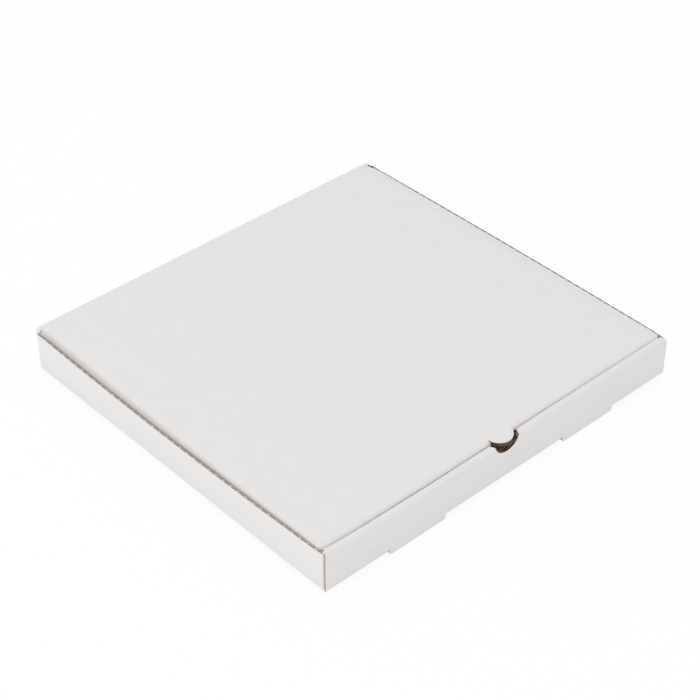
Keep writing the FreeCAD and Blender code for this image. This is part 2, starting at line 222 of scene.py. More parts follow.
@dataclass
class Panel:
    """One closed piece of the sheet: two faces over a grid, and cut rims round what is kept.

    Attributes:
        outer: grid points of the white face; inner holds those of the brown face.
        flat: place of each grid point in the blank laid flat, the flutes along the first.
        keep: which cells of the grid are board.
        ribbons: grid lines that show the medium: row, column, and the way to the next line in.
        painted_shade: painted shade on the white face, from 0 to 1.
        wrapped: which cells have the white liner on their inner face too.
    """

    outer: Array
    inner: Array
    flat: Array
    keep: Array
    ribbons: list[tuple[slice | int, slice | int, int]] = field(default_factory=list)
    painted_shade: Array | float = 0.0
    wrapped: Array | bool = False

    @property
    def notch(self) -> Array:
        """Which grid points lie round the thumb notch, in a flat list."""
        spots = self.outer.reshape(-1, 3)
        return (np.abs(spots[:, 0]) < NOTCH_HALF) & (spots[:, 2] > NOTCH_LOW) & (
            spots[:, 1] < NOTCH_BACK)

    def mesh_parts(self) -> tuple[Array, Array, Array, Array, Array]:
        """Build both faces and the rims.

        A rim crosses the board in five strips: the cut edge of the outer liner, the wall,
        bottom and other wall of the groove between the liners, and the cut edge of the inner
        liner.

        Returns:
            Vertices, quads, a material place for each quad, and for each vertex a flat place
            and the painted shade of the outer liner.
        """
        rows, cols = self.outer.shape[:2]
        total = rows * cols
        index = np.arange(total).reshape(rows, cols)
        corner = np.stack([index[:-1, :-1], index[1:, :-1], index[1:, 1:], index[:-1, 1:]], -1)
        faces = corner[self.keep]
        surface, lining = self.outer.reshape(-1, 3), self.inner.reshape(-1, 3)
        flat = self.flat.reshape(-1, 2)
        wrapped = np.broadcast_to(self.wrapped, self.keep.shape)[self.keep]
        quads = [faces, faces[:, ::-1] + total]
        places = [np.full(len(faces), Face.OUTER.value),
                  np.where(wrapped, Face.OUTER.value, Face.INNER.value)]

        start, stop, into = self.rim_edges(index)
        turn = np.abs(flat[stop, 1] - flat[start, 1]) / np.maximum(
            np.hypot(*(flat[stop] - flat[start]).T), TINY)
        rim, inward, deep = self.groove(start, stop, into, turn)
        top, under = surface[rim], lining[rim]
        wide = np.maximum(np.linalg.norm(top - under, axis=1), 0.1)
        edge = np.minimum(BOARD.liner / wide, 0.35)[:, None]
        sunk = inward * (deep * np.clip(wide - PRESSED_FLAT, 0.02, 1.0))[:, None]
        rings = [top + (under - top) * edge, top + (under - top) * edge + sunk,
                 under + (top - under) * edge + sunk, under + (top - under) * edge]
        lookup = np.full(total, -1)
        lookup[rim] = np.arange(len(rim))
        firsts = 2 * total + len(rim) * np.arange(len(rings))
        chain = [(start, stop),
                 *((first + lookup[start], first + lookup[stop]) for first in firsts),
                 (start + total, stop + total)]
        for (near_a, near_b), (far_a, far_b) in zip(chain[:-1], chain[1:]):
            quads.append(np.stack([near_b, near_a, far_a, far_b], 1))
        places += self.rim_places(start, stop, turn, wide[lookup[start]] < THIN)

        vertices = np.concatenate([surface, lining, *rings])
        painted_shade = np.zeros(len(vertices))
        painted_shade[:total] = np.broadcast_to(self.painted_shade, (rows, cols)).ravel()
        return (vertices, np.concatenate(quads), np.concatenate(places),
                np.concatenate([flat, flat] + [flat[rim]] * len(rings)), painted_shade)

    def groove(self, start: Array, stop: Array, into: Array,
               turn: Array) -> tuple[Array, Array, Array]:
        """Work out how the groove between the liners goes into each grid point of the rims.

        The way in is square to the rim, and at a corner the mean of both sides. The groove is
        deep where the rim runs across the flutes and only a lip where it runs along them. It is
        shallow where a crest of the medium fills the mouth, and it stays within 2.2 times the
        first cell, so that it doesn't come out through a bend.

        Args:
            start: one end of each rim edge.
            stop: the other end of each rim edge.
            into: for each end the next grid point inside the kept cell.
            turn: how much each edge runs across the flutes, from 0 to 1.

        Returns:
            The rim's grid points, the way in at each of them, and the depth there.
        """
        surface, flat = self.outer.reshape(-1, 3), self.flat.reshape(-1, 2)
        total = len(surface)
        inward = np.zeros((total, 3))
        across, share, room = np.zeros(total), np.zeros(total), np.full(total, 9.0)
        run = surface[stop] - surface[start]
        length = np.maximum(np.linalg.norm(run, axis=1), TINY)
        for end, goal in ((start, into[:, 0]), (stop, into[:, 1])):
            step = surface[goal] - surface[end]
            step -= run / length[:, None] * (np.sum(step * run, axis=1) / length)[:, None]
            np.minimum.at(room, end, np.linalg.norm(step, axis=1))
            np.add.at(inward, end, unit(step))
            np.add.at(across, end, turn)
            np.add.at(share, end, 1.0)
        rim = np.flatnonzero(share)
        inward = inward[rim]
        inward *= (2.0 / np.maximum(np.sum(inward**2, axis=1), 1.5))[:, None]
        filled = smooth(BOARD.wave(flat[rim, 1]) + 0.4)
        deep = BOARD.lip + (BOARD.mouth - BOARD.lip) * (across[rim] / share[rim]) ** 2 * (
            1 - 0.95 * filled)
        return rim, inward, np.minimum(deep, 2.2 * room[rim])

    def rim_places(self, start: Array, stop: Array, turn: Array, thin: Array) -> list[Array]:
        """Choose the materials of the rims.

        The thumb notch has its own dark brown edge, painted shade for its hollows. At the hinge,
        where the one sheet is parted, the rim takes a liner's paper, so that it looks uncut, and
        so does a rim that the outer liner is drawn in round. Board that is pressed thin shows torn
        paper only.

        Args:
            start: one end of each rim edge.
            stop: the other end of each rim edge.
            turn: how much each edge runs across the flutes, from 0 to 1.
            thin: which edges are pressed thin.

        Returns:
            The material places of the quads, for each strip from the outer liner to the inner.
        """
        surface = self.outer.reshape(-1, 3)
        _, long, high = np.minimum(surface[start], surface[stop]).T
        in_notch = self.notch[start] & self.notch[stop]
        hinge = (turn < 0.5) & (long > HINGE_FRONT) & (high > HINGE_LOW)
        hinge_paper = np.where(np.abs(surface[start, 0]) > HINGE_HALF, Face.OUTER.value,
                               Face.INNER.value)
        drawn_in = (turn >= 0.5) & np.any(self.wrapped)
        strips = (Face.CUT, Face.FLUTE, Face.FLUTE, Face.FLUTE, Face.CUT)
        return [np.select([in_notch, hinge, drawn_in, thin],
                          [Face.NOTCH_SHADE.value, hinge_paper, Face.OUTER.value, Face.CUT.value],
                          strip.value) for strip in strips]

    def rim_edges(self, index: Array) -> tuple[Array, Array, Array]:
        """Find the edges between kept and left-out cells.

        Args:
            index: the vertex number of each grid point.

        Returns:
            Start and stop vertices, in the direction in which the kept cell runs round them, and
            for each end the next vertex inside the kept cell.
        """
        kept = np.pad(self.keep, 1)
        found: list[tuple[Array, Array, Array, Array]] = []
        here, left = kept[1:-1, 1:], kept[1:-1, :-1]
        for cells, back in ((here & ~left, False), (left & ~here, True)):
            i, j = np.nonzero(cells)
            inside = j - 1 if back else j + 1
            ends = (index[i, j], index[i + 1, j], index[i, inside], index[i + 1, inside])
            found.append(tuple(ends[k] for k in ((1, 0, 3, 2) if back else (0, 1, 2, 3))))
        here, above = kept[1:, 1:-1], kept[:-1, 1:-1]
        for cells, back in ((above & ~here, False), (here & ~above, True)):
            i, j = np.nonzero(cells)
            inside = i + 1 if back else i - 1
            ends = (index[i, j], index[i, j + 1], index[inside, j], index[inside, j + 1])
            found.append(tuple(ends[k] for k in ((1, 0, 3, 2) if back else (0, 1, 2, 3))))
        start, stop, near, far = (np.concatenate([item[k] for item in found]) for k in range(4))
        return start, stop, np.stack([near, far], 1)

    def ribbon_parts(self) -> list[tuple[Array, Array, Array]]:
        """Build the medium that shows in the grooves.

        A ribbon follows a grid line of the rim. At each distance it stands between the liners
        at the medium's wave times the free half width, and it reaches from just inside the cut
        edge to near the bottom of the groove.

        Returns:
            Vertices, quads and flat places of each ribbon.
        """
        parts = []
        for row, col, inside in self.ribbons:
            where = (row, col)
            goal = (row + inside, col) if isinstance(row, int) else (row, col + inside)
            top, under = self.outer[where], self.inner[where]
            run = unit(np.gradient(top, axis=0))
            inward = self.outer[goal] - top
            inward -= run * np.sum(inward * run, axis=1)[:, None]
            inward = unit(inward)
            flat = self.flat[where][:, 1]
            length = np.concatenate([[0.0], np.cumsum(
                np.linalg.norm(np.diff(top, axis=0), axis=1))])
            fine = np.linspace(0.0, length[-1], max(int(length[-1] / 0.55), 4))

            def spread(values: Array) -> Array:
                """Spread values of the grid line over the fine steps."""
                return np.stack([np.interp(fine, length, values[:, k])
                                 for k in range(values.shape[1])], 1)

            top, under, inward = spread(top), spread(under), spread(inward)
            flat = np.interp(fine, length, flat)
            wide = np.linalg.norm(top - under, axis=1)
            over = (top - under) / wide[:, None]
            free = np.maximum(wide / 2 - np.minimum(BOARD.liner, 0.35 * wide)
                              - BOARD.medium / 2, 0.05)
            middle = (top + under) / 2 + over * (BOARD.wave(flat) * free)[:, None]
            head = unit(np.gradient(middle, axis=0))
            half = unit(np.cross(head, inward)) * BOARD.medium / 2
            near, far = inward * 0.2, inward * (BOARD.mouth - 0.4)
            rings = np.stack([middle + half + near, middle - half + near,
                              middle - half + far, middle + half + far], 1)
            count = len(fine)
            base = np.arange(count - 1)[:, None] * 4
            turn = np.arange(4)
            quads = np.stack([base + turn, base + (turn + 1) % 4,
                              base + 4 + (turn + 1) % 4, base + 4 + turn], -1).reshape(-1, 4)
            caps = np.array([[3, 2, 1, 0], (count - 1) * 4 + turn])
            flats = np.repeat(np.stack([fine, flat], 1), 4, axis=0)
            parts.append((rings.reshape(-1, 3), np.concatenate([quads, caps]), flats))
        return parts


def outward_grid(panel: Panel) -> Panel:
    """Turn a panel's grid over if its quads face into the board.

    Args:
        panel: the panel as it was worked out.

    Returns:
        The panel with quads that face out of the outer side.
    """
    du = np.diff(panel.outer, axis=0)[:, :-1]
    dv = np.diff(panel.outer, axis=1)[:-1]
    thick = (panel.outer - panel.inner)[:-1, :-1]
    facing = np.sum(np.cross(du, dv) * thick, axis=-1)[panel.keep]
    if np.mean(facing) >= 0:
        return panel
    rows = panel.outer.shape[0] - 1
    turned = []
    for row, col, inside in panel.ribbons:
        if isinstance(row, int):
            turned.append((rows - (row % (rows + 1)), col, -inside))
        else:
            start = rows - row.start if row.start is not None else rows
            low = rows - (row.stop - 1) if row.stop is not None else 0
            turned.append((slice(low, start + 1), col, inside))
    painted_shade = np.broadcast_to(panel.painted_shade, panel.outer.shape[:2])[::-1]
    wrapped = np.broadcast_to(panel.wrapped, panel.keep.shape)[::-1]
    return Panel(panel.outer[::-1], panel.inner[::-1], panel.flat[::-1], panel.keep[::-1],
                 turned, painted_shade, wrapped)


def board_object(name: str, panels: list[Panel], finishes: "Finishes") -> bpy.types.Object:
    """Make one object of board from its panels.

    Args:
        name: the name of the piece.
        panels: the panels in millimetres.
        finishes: the materials of the board.

    Returns:
        The object, at the origin, with its flat coordinates as a UV map in metres.
    """
    points, quads, places, flats, painted_shading = [], [], [], [], []
    count = 0
    for panel in map(outward_grid, panels):
        parts = [panel.mesh_parts()]
        parts += [(p, q, np.full(len(q), Face.CUT.value), f, np.zeros(len(p)))
                  for p, q, f in panel.ribbon_parts()]
        for spots, corners, kinds, flat, painted_shade in parts:
            used = np.unique(corners)
            lookup = np.zeros(len(spots), int)
            lookup[used] = np.arange(len(used))
            points.append(spots[used])
            flats.append(flat[used])
            painted_shading.append(painted_shade[used])
            quads.append(lookup[corners] + count)
            places.append(kinds)
            count += len(used)
    vertices, faces, kinds = np.concatenate(points), np.concatenate(quads), np.concatenate(places)
    mesh = bpy.data.meshes.new(name)
    mesh.from_pydata((vertices * MM).tolist(), [], faces.tolist())
    mesh.polygons.foreach_set("material_index", kinds.astype(np.int32))
    shade = np.isin(kinds, (Face.OUTER.value, Face.INNER.value))
    mesh.polygons.foreach_set("use_smooth", shade)
    layer = mesh.uv_layers.new(name="flat")
    layer.data.foreach_set("uv", (np.concatenate(flats) * MM)[faces.ravel()].ravel())
    # Painted shade of the lid's side folds goes to the white finish as a point attribute.
    painted_shade_layer = mesh.attributes.new("fold_painted_shade", "FLOAT", "POINT")
    painted_shade_layer.data.foreach_set("value", np.concatenate(painted_shading).astype(np.float32))
    mesh.update()
    for material in finishes.in_order():
        mesh.materials.append(material)
    made = bpy.data.objects.new(name, mesh)
    bpy.context.scene.collection.objects.link(made)
    mark_sharp(made)
    LOG.info("%s: %d panels, %d faces", name, len(panels), len(faces))
    return made


def mark_sharp(made: bpy.types.Object) -> None:
    """Keep the edges between the board's faces and its cut rims sharp.

    Args:
        made: the object of board.
    """
    mesh = made.data
    kinds = np.zeros(len(mesh.polygons), np.int32)
    mesh.polygons.foreach_get("material_index", kinds)
    corner_edge = np.zeros(len(mesh.loops), np.int32)
    mesh.loops.foreach_get("edge_index", corner_edge)
    low = np.full(len(mesh.edges), 99)
    high = np.full(len(mesh.edges), -1)
    of_corner = np.repeat(kinds, 4)
    np.minimum.at(low, corner_edge, of_corner)
    np.maximum.at(high, corner_edge, of_corner)
    sharp = mesh.attributes.get("sharp_edge") or mesh.attributes.new(
        "sharp_edge", "BOOLEAN", "EDGE")
    sharp.data.foreach_set("value", (low != high) | (high >= Face.CUT.value))


def linear(hexa: str) -> tuple[float, float, float, float]:
    """Turn an sRGB hex colour into linear values.

    Args:
        hexa: six hex digits.

    Returns:
        Linear red, green, blue and 1.
    """
    parts = np.array([int(hexa[k:k + 2], 16) for k in (0, 2, 4)]) / 255
    values = np.where(parts <= 0.04045, parts / 12.92, ((parts + 0.055) / 1.055) ** 2.4)
    return (*map(float, values), 1.0)


def add_node(tree: bpy.types.NodeTree, kind: str, links: dict | None = None,
             **settings: object) -> bpy.types.Node:
    """Add a node with its settings and links.

    Args:
        tree: the node tree.
        kind: the type of the node.
        links: what each input gets, by its name or number: an output to link or a value.
        settings: attributes of the node.

    Returns:
        The node.
    """
    node = tree.nodes.new(kind)
    for name, setting in settings.items():
        setattr(node, name, setting)
    for name, source in (links or {}).items():
        if isinstance(source, bpy.types.NodeSocket):
            tree.links.new(source, node.inputs[name])
        else:
            node.inputs[name].default_value = source
    return node


@dataclass(frozen=True)
class PaperFinish:
    """A paper of the board: kraft pulp pressed on a wire, calendered, and glued over flutes.

    Attributes:
        dull: colour of the thin places between the clouds of pulp.
        wire: strength of the fibres' relief; washboard is that of the flutes behind.
        fold_shade: colour of the painted shade on the lid's side folds.
        crest: colour of the medium's crests.
    """

    name: str
    colour: str
    dull: str
    roughness: float
    wire: float
    washboard: float
    fold_shade: str = ""
    crest: str = ""
    cloud_mm: float = 14.0
    fibre_mm: float = 0.7

    def material(self) -> bpy.types.Material:
        """Make the material: clouds of pulp in the colour, fibres and flute lines in the bump.

        Returns:
            The material.
        """
        made = bpy.data.materials.new(self.name)
        made.use_nodes = True
        tree = made.node_tree
        tree.nodes.clear()
        flat = add_node(tree, "ShaderNodeUVMap", uv_map="flat").outputs["UV"]
        # Pulp lies in clouds about a centimetre wide, the formation of the sheet.
        cloud = add_node(tree, "ShaderNodeTexNoise", {
            "Vector": flat, "Scale": 1 / (self.cloud_mm * MM), "Detail": 4.0,
            "Roughness": 0.6}).outputs["Fac"]
        # Fibres lie mostly along the machine, so the grain is stretched across the flutes.
        along = add_node(tree, "ShaderNodeMapping", {
            "Vector": flat, "Scale": (1.0, 0.25, 1.0)}).outputs["Vector"]
        fibre = add_node(tree, "ShaderNodeTexNoise", {
            "Vector": along, "Scale": 1 / (self.fibre_mm * MM), "Detail": 3.0,
            "Roughness": 0.7}).outputs["Fac"]
        mixed = add_node(tree, "ShaderNodeMath", {0: cloud, 1: fibre},
                         operation="ADD").outputs["Value"]
        ramp = add_node(tree, "ShaderNodeMapRange", {
            "Value": mixed, "From Min": 0.7, "From Max": 1.3}).outputs["Result"]
        colour = add_node(tree, "ShaderNodeMix", {
            "Factor": ramp, "A": linear(self.dull), "B": linear(self.colour)},
            data_type="RGBA").outputs["Result"]
        # The liner dips a little between the flutes that it is glued to.
        washboard = add_node(tree, "ShaderNodeTexWave", {
            "Vector": flat, "Scale": 2 * np.pi / (20 * BOARD.pitch * MM), "Distortion": 0.4,
            "Detail": 1.0, "Detail Scale": 3.0, "Phase Offset": np.pi / 2},
            bands_direction="Y").outputs["Fac"]
        # At its crests the medium comes up to the cut, pale with torn fibres.
        high = add_node(tree, "ShaderNodeMapRange", {
            "Value": washboard, "From Min": 0.62, "From Max": 0.84}).outputs["Result"]
        colour = add_node(tree, "ShaderNodeMix", {
            "Factor": high if self.crest else 0.0, "A": colour,
            "B": linear(self.crest or self.dull)}, data_type="RGBA").outputs["Result"]
        # A crease stretches the liner, so the kraft beneath it shimmers through.
        painted_shade = add_node(tree, "ShaderNodeAttribute", attribute_name="fold_painted_shade")
        # Painted shade on the lid's side folds: the colour goes towards the fold shade colour as
        # far as the point attribute asks.
        colour = add_node(tree, "ShaderNodeMix", {
            "Factor": painted_shade.outputs["Fac"], "A": colour,
            "B": linear(self.fold_shade or self.dull)}, data_type="RGBA").outputs["Result"]
        grain = add_node(tree, "ShaderNodeBump", {
            "Height": fibre, "Strength": self.wire, "Distance": 0.05 * MM}).outputs["Normal"]
        relief = add_node(tree, "ShaderNodeBump", {
            "Height": washboard, "Strength": self.washboard, "Distance": 0.1 * MM,
            "Normal": grain}).outputs["Normal"]
        shader = add_node(tree, "ShaderNodeBsdfPrincipled", {
            "Base Color": colour, "Roughness": self.roughness, "IOR": 1.5,
            "Specular IOR Level": 0.25, "Normal": relief})
        add_node(tree, "ShaderNodeOutputMaterial", {"Surface": shader.outputs["BSDF"]})
        return made


@dataclass(frozen=True)
class Finishes:
    """The papers of the board, in the order of the material places."""

    white: bpy.types.Material
    kraft: bpy.types.Material
    cut: bpy.types.Material
    medium: bpy.types.Material
    notch: bpy.types.Material

    def in_order(self) -> list[bpy.types.Material]:
        """List the materials by their place in Face."""
        return [self.white, self.kraft, self.cut, self.medium, self.notch]


def make_finishes() -> Finishes:
    """Make the papers of the board.

    Returns:
        The materials of the board.
    """
    # Bleached kraft liner, lightly calendered: matt white with the faintest cloudiness, and a grey
    # for the painted shade on the lid's side folds.
    white = PaperFinish("bleached_kraft_liner", "E9E7E6", "E6E4E3", 0.62, 0.25, 0.10, "C6BFBC")
    # Unbleached kraft liner: brown, rougher, with darker fibres.
    kraft = PaperFinish("brown_kraft_liner", "B98F66", "A67C54", 0.8, 0.5, 0.25)
    # Die-cut edge of the liners: torn fibres of both papers, lighter than the medium.
    cut = PaperFinish("die_cut_paper_edge", "CBC1B8", "B5A99E", 0.9, 0.8, 0.0, cloud_mm=5.0)
    # Semichemical fluting medium: dull grey brown, seen end on in the flute mouths.
    medium = PaperFinish("fluting_medium", "7A6555", "604E3F", 0.9, 0.6, 0.0, crest="DDD3CA",
                         cloud_mm=5.0)
    # The same edge in the thumb notch, darker: painted shade for the hollows seen into there.
    notch = PaperFinish("thumb_notch_painted_shade", "7A6157", "5A453D", 0.9, 0.8, 0.0, cloud_mm=3.0)
    return Finishes(white.material(), kraft.material(), cut.material(), medium.material(),
                    notch.material())


@dataclass
class Tray:
    """Floor, walls, corner flaps and rolled front wall, folded up from one sheet.

    Attributes:
        under: height of the floor's lower face above the feet.
        roll_front: radius of the roll's front crease; roll_rear is that of its rear one.
        nest: gap between the two layers of the front wall.
        bow: bulge of the left side wall; bow_right is that of the right one.
        crushed_end: thickness of the front and rear walls at their crushed ends.
        tips: rise of each side wall's cut top at its front corner, left and right.
        raised: how far the whole cut top stands up, left and right.
        rim: thickness of a side wall along its cut top.
        inner_half: half length of the inner front wall and of the front wall's lower fold.
        seam: height at which the rear wall goes over into the hinge fold.
        rim_from: height from which a side wall thins towards its cut top.
        flap_clear: room between a corner flap and the wall that it lies against.
        flap_run: how far from the side wall a corner flap starts to bend towards it.
        corner_cut: how far a side wall's corner fold stands out past its flap.
        corner_kept: how much of the floor's side fold goes on round a corner.
        notch_near: place of the last grid column that moves round the thumb notch.
        notch_spread: how much the notch's half width grows on the inner layer.
        crush_front: length of the front wall's crushed ends; crush_rear is the rear wall's.
        end_lean: how far the inner front wall's ends lean out below the roll.
        lift_from: height above the floor's lower face where the roll's unevenness starts.
        cap_reach: how much of the roll's top goes on past the inner front wall's ends.
        inner_clear: room between the floor and the inner front wall beside its lock tabs.
        blank_foot: place of the feet in the blank laid flat.
    """

    width: float = 288.0
    depth: float = 273.0
    under: float = 3.3
    side_top: float = 30.1
    roll_top: float = 31.0
    roll_front: float = 1.6
    roll_rear: float = 2.7
    nest: float = 1.3
    bow: float = 2.0
    bow_right: float = 0.9
    end_gap: float = 0.25
    corner: float = 5.85
    corner_flap: float = 44.0
    low_corner: float = 26.2
    rear_flap_top: float = 27.1
    notch_radius: float = 10.1
    notch_bottom: float = 23.2
    foot_place: float = 72.4
    foot_length: float = 46.0
    foot_taper: float = 1.2
    slot_depth: float = 7.0
    lock_gap: float = 0.5
    crushed_end: float = 0.45
    tips: tuple[float, float] = (1.5, -1.3)
    raised: tuple[float, float] = (0.6, 0.0)
    rim: float = 1.5
    inner_half: float = 141.1
    rear_half: float = 141.0
    seam: float = 29.6
    rim_from: float = 24.0
    flap_clear: float = 0.15
    flap_pressed: float = 1.0
    flap_run: float = 8.0
    flap_bend: float = 6.0
    corner_cut: float = 1.55
    corner_fold: float = 1.5
    corner_pressed: float = 0.9
    corner_kept: float = 3.2
    notch_near: float = 20.0
    notch_spread: float = 1.4
    crush_front: float = 7.0
    crush_rear: float = 5.0
    end_lean: float = 0.75
    lean_from: float = 24.0
    lean_run: float = 6.0
    lift_from: float = 14.0
    lift_run: float = 11.0
    cap_reach: float = 1.6
    inner_clear: float = 0.3
    blank_foot: float = 90.0

    @property
    def front(self) -> float:
        """Y of the front wall's outer face."""
        return -self.depth / 2

    @property
    def rear(self) -> float:
        """Y of the rear wall's outer face."""
        return self.depth / 2

    def foot_marks(self, inset: float = 0.0) -> list[float]:
        """Give the places of both ends of both feet.

        Args:
            inset: how far each end is drawn in.

        Returns:
            X of the four ends, from left to right.
        """
        near = self.foot_place - self.foot_length / 2 + inset
        far = self.foot_place + self.foot_length / 2 - inset
        return [-far, -near, near, far]

    def base(self) -> Panel:
        """Build the floor with both side walls and their four corner flaps.

        The grid runs across the box from one cut top down the wall, over the floor and up the
        other wall, and along the box from the front flap's end round the corner fold, along the
        wall and round the rear fold. A wall bulges outwards as 1 - (y / half)^2 times its
        height above the fold.

        Returns:
            The panel, H-shaped when laid flat.
        """
        half, base = self.width / 2, self.under
        t, ri = BOARD.thickness, BOARD.fold_inner
        low = base + BOARD.crease
        across = FoldedLine([(-half, self.side_top), (-half, base), (half, base),
                             (half, self.side_top)], [BOARD.crease, BOARD.crease])
        inside = FoldedLine([(-half + t, self.side_top), (-half + t, base + t),
                             (half - t, base + t), (half - t, self.side_top)], [ri, ri])
        marks = across.marks
        middle = (marks[2] + marks[3]) / 2
        wall = marks[1]
        rim = np.array([0.0, 0.8, 2.0, 3.5, 5.0, 6.5])
        floor_marks = [middle + x for x in self.foot_marks()]
        fold_lines = np.concatenate([np.linspace(marks[1], marks[2], 5),
                                     np.linspace(marks[3], marks[4], 5)])
        u = stations(np.concatenate([rim, fold_lines, floor_marks, marks[-1] - rim]), 12.0)

        face, back = self.front + t + self.flap_clear, self.rear - t - self.flap_clear
        tip, root = -half + self.corner_flap, -half + self.flap_run
        behind = face + self.flap_pressed
        plan = FoldedLine([(tip, face), (root, face), (-half, face - self.corner_cut),
                           (-half, back + self.corner_cut), (root, back), (tip, back)],
                          [self.flap_bend, self.corner_fold, self.corner_fold, self.flap_bend])
        lining = FoldedLine([(tip, behind), (root, behind),
                             (-half + t, face + self.corner_pressed), (-half + t, back - t),
                             (root, back - t), (tip, back - t)],
                            [self.flap_bend, ri, ri, self.flap_bend])
        pm = plan.marks
        start, stop = self.front + self.corner, self.rear - self.corner
        turn = pm[4] - plan.at(pm[4])[1]
        v = stations(np.concatenate([
            np.linspace(pm[0], pm[1], 4), np.linspace(pm[1], pm[2], 3), [pm[3] - 0.4],
            np.linspace(pm[3], pm[4], 8), [turn + start, turn + self.front + self.slot_depth],
            turn + start + np.array([-1.5, 1.2, 3.0, 6.0]),
            [turn + stop], np.linspace(pm[5], pm[6], 8), [pm[6] + 0.4],
            np.linspace(pm[7], pm[8], 3), [pm[-1]]]), 0.9)
        px, py = plan.at(v)
        lx, ly = plan.beside(v, lining)

        ax, az = across.at(u)
        bx, bz = across.beside(u, inside)
        sign = np.where(u < middle, 1.0, -1.0)[:, None]
        upright = (u <= wall + TINY) | (u >= marks[4] - TINY)
        left_top, right_top = (self.wall_top(v - turn, pm[3] - turn, pm[6] - turn, side)
                               for side in (0, 1))
        top = np.where((u < middle)[:, None], left_top, right_top)
        rise = np.clip((az[:, None] - low) / (self.side_top - low), 0.0, 1.0)
        outer_z = np.where(upright[:, None], low + rise * (top - low), az[:, None])
        inner_z = np.where(upright[:, None], outer_z, bz[:, None])
        straight = between(v, turn + start - TINY, turn + stop + TINY)
        long = np.where(straight, v - turn, py)
        bow = np.where(u < middle, self.bow, self.bow_right)[:, None]
        bulge = bow * np.clip(1 - (long / stop) ** 2, 0.0, 1.0) * rise
        outer = joined(ax[:, None] + sign * (px + half - bulge), long[None], outer_z)
        thin = (t - self.rim) * smooth((outer_z - self.rim_from) / (self.side_top - self.rim_from))
        inner_shift = np.where(straight, 0.0, lx + half - t) - bulge - thin
        inner_y = np.where(upright[:, None], np.where(straight, long, ly)[None], long[None])
        inner = joined(bx[:, None] + sign * inner_shift, inner_y, inner_z)
        flat = joined(u[:, None] - middle, (v - turn)[None])

        cell_u, cell_v = (u[1:] + u[:-1]) / 2, (v[1:] + v[:-1]) / 2
        wall_cell = (cell_u < wall) | (cell_u > marks[4])
        bend_cell = (cell_u < marks[2]) | (cell_u > marks[3])
        keep = wall_cell[:, None] | between(cell_v, turn + start, turn + stop)[None]
        keep |= bend_cell[:, None] & (
            between(cell_v, pm[3] - self.corner_kept, turn + start)
            | between(cell_v, turn + stop, pm[6] + self.corner_kept))[None]
        feet = self.foot_marks()
        cell_x = cell_u - middle
        foot = between(cell_x, *feet[:2]) | between(cell_x, *feet[2:])
        slot = cell_v < turn + self.front + self.slot_depth
        keep &= ~(foot[:, None] & slot[None])
        last = len(u) - 1
        return Panel(outer, inner, flat, keep, [(0, slice(None), 1), (last, slice(None), -1)])

    def wall_top(self, along: Array, bent: float, rear_bent: float, side: int) -> Array:
        """Height of the cut top along a side wall and its flaps.

        Args:
            along: distances along the plan line, with zero at the middle of the wall.
            bent: where the front corner's bend ends and its flap starts.
            rear_bent: the same at the rear corner.
            side: 0 for the left wall and 1 for the right one.

        Returns:
            The height at each distance.
        """
        start = self.front + self.corner
        marks = [bent - 0.4, bent, start - 2.5, start + 1.2, start + 6.0, rear_bent,
                 rear_bent + 0.4]
        rises = np.array([0.0, 1.0, 0.5, 0.2, 0.0, 0.0, 0.0]) * self.tips[side]
        top = self.side_top + self.raised[side]
        levels = [self.low_corner] + [top] * 5 + [self.rear_flap_top]
        return np.interp(along, marks, levels + rises)

    def front_wall(self) -> Panel:
        """Build the front wall, which rolls over at its top into the inner front wall.

        The grid runs along the front, and up the section: fold, outer layer, front crease, top,
        rear crease, inner layer and lock tabs. Near the thumb notch the columns part so that
        the two middle ones follow the circle's half width sqrt(r^2 - (z - centre)^2).

        Returns:
            The panel.
        """
        t, r, ri = BOARD.thickness, BOARD.crease, BOARD.fold_inner
        front, base, top = self.front, self.under, self.roll_top
        back = front + 2 * t + self.nest
        inside_y = (front + t, front + t + self.nest)
        crest = top - t
        outer_line = FoldedLine([(front + self.corner, base), (front, base), (front, top),
                                 (back, top), (back, base)],
                                [r, self.roll_front, self.roll_rear])
        inner_line = FoldedLine([(front + self.corner, base + t), (inside_y[0], base + t),
                                 (inside_y[0], crest), (inside_y[1], crest),
                                 (inside_y[1], base)],
                                [ri, self.nest * 0.45, self.nest * 0.45])
        m = outer_line.marks
        centre = self.notch_bottom + self.notch_radius
        angles = np.radians(np.linspace(0.0, 80.0, 13))
        heights = centre - self.notch_radius * np.cos(angles)
        heights = heights[heights < top - self.roll_rear]
        climb = m[2] + heights - (base + r)
        fall = m[6] + (top - self.roll_rear) - heights
        slot_end = m[-1] - (BOARD.thickness + self.inner_clear)
        cap = min(m[4] + self.cap_reach, m[5])
        v = stations(np.concatenate([
            np.linspace(m[1], m[2], 7), climb, np.linspace(m[3], m[4], 6),
            np.linspace(m[5], m[6], 8), fall, [m[0], cap, slot_end, m[-1]]]), 5.0)
        oy, oz = outer_line.at(v)
        iy, iz = outer_line.beside(v, inner_line)

        half = self.width / 2 - self.end_gap
        near = self.notch_near
        ends = half - np.array([0.0, 0.8, 1.6, half - self.inner_half, 4.0, 5.5, 8.0, 12.0])
        beside = np.linspace(SLIT, near, 10)
        x0 = stations([*ends, *-ends, *beside, *-beside,
                       *self.foot_marks(), *self.foot_marks(self.lock_gap)], 9.0)
        opening = np.sqrt(np.maximum(self.notch_radius**2 - (oz - centre) ** 2, 0.0))
        opening = opening + self.notch_spread * smooth((v - m[4]) / 3.0)
        opening = np.where(between(v, climb[0] - TINY, fall[0] + TINY), opening, 0.0)
        opening = np.maximum(opening, SLIT)
        x = np.where(np.abs(x0)[:, None] <= near + TINY, part_columns(x0, opening, near),
                     x0[:, None])
        # Towards the top the ends of the inner wall lean out, below the roll's own ends.
        at_end = np.isclose(np.abs(x0), self.inner_half)[:, None]
        leaning = self.end_lean * np.sign(x) * smooth((oz - self.lean_from) / self.lean_run)
        x = x + np.where(at_end, leaning, 0.0)

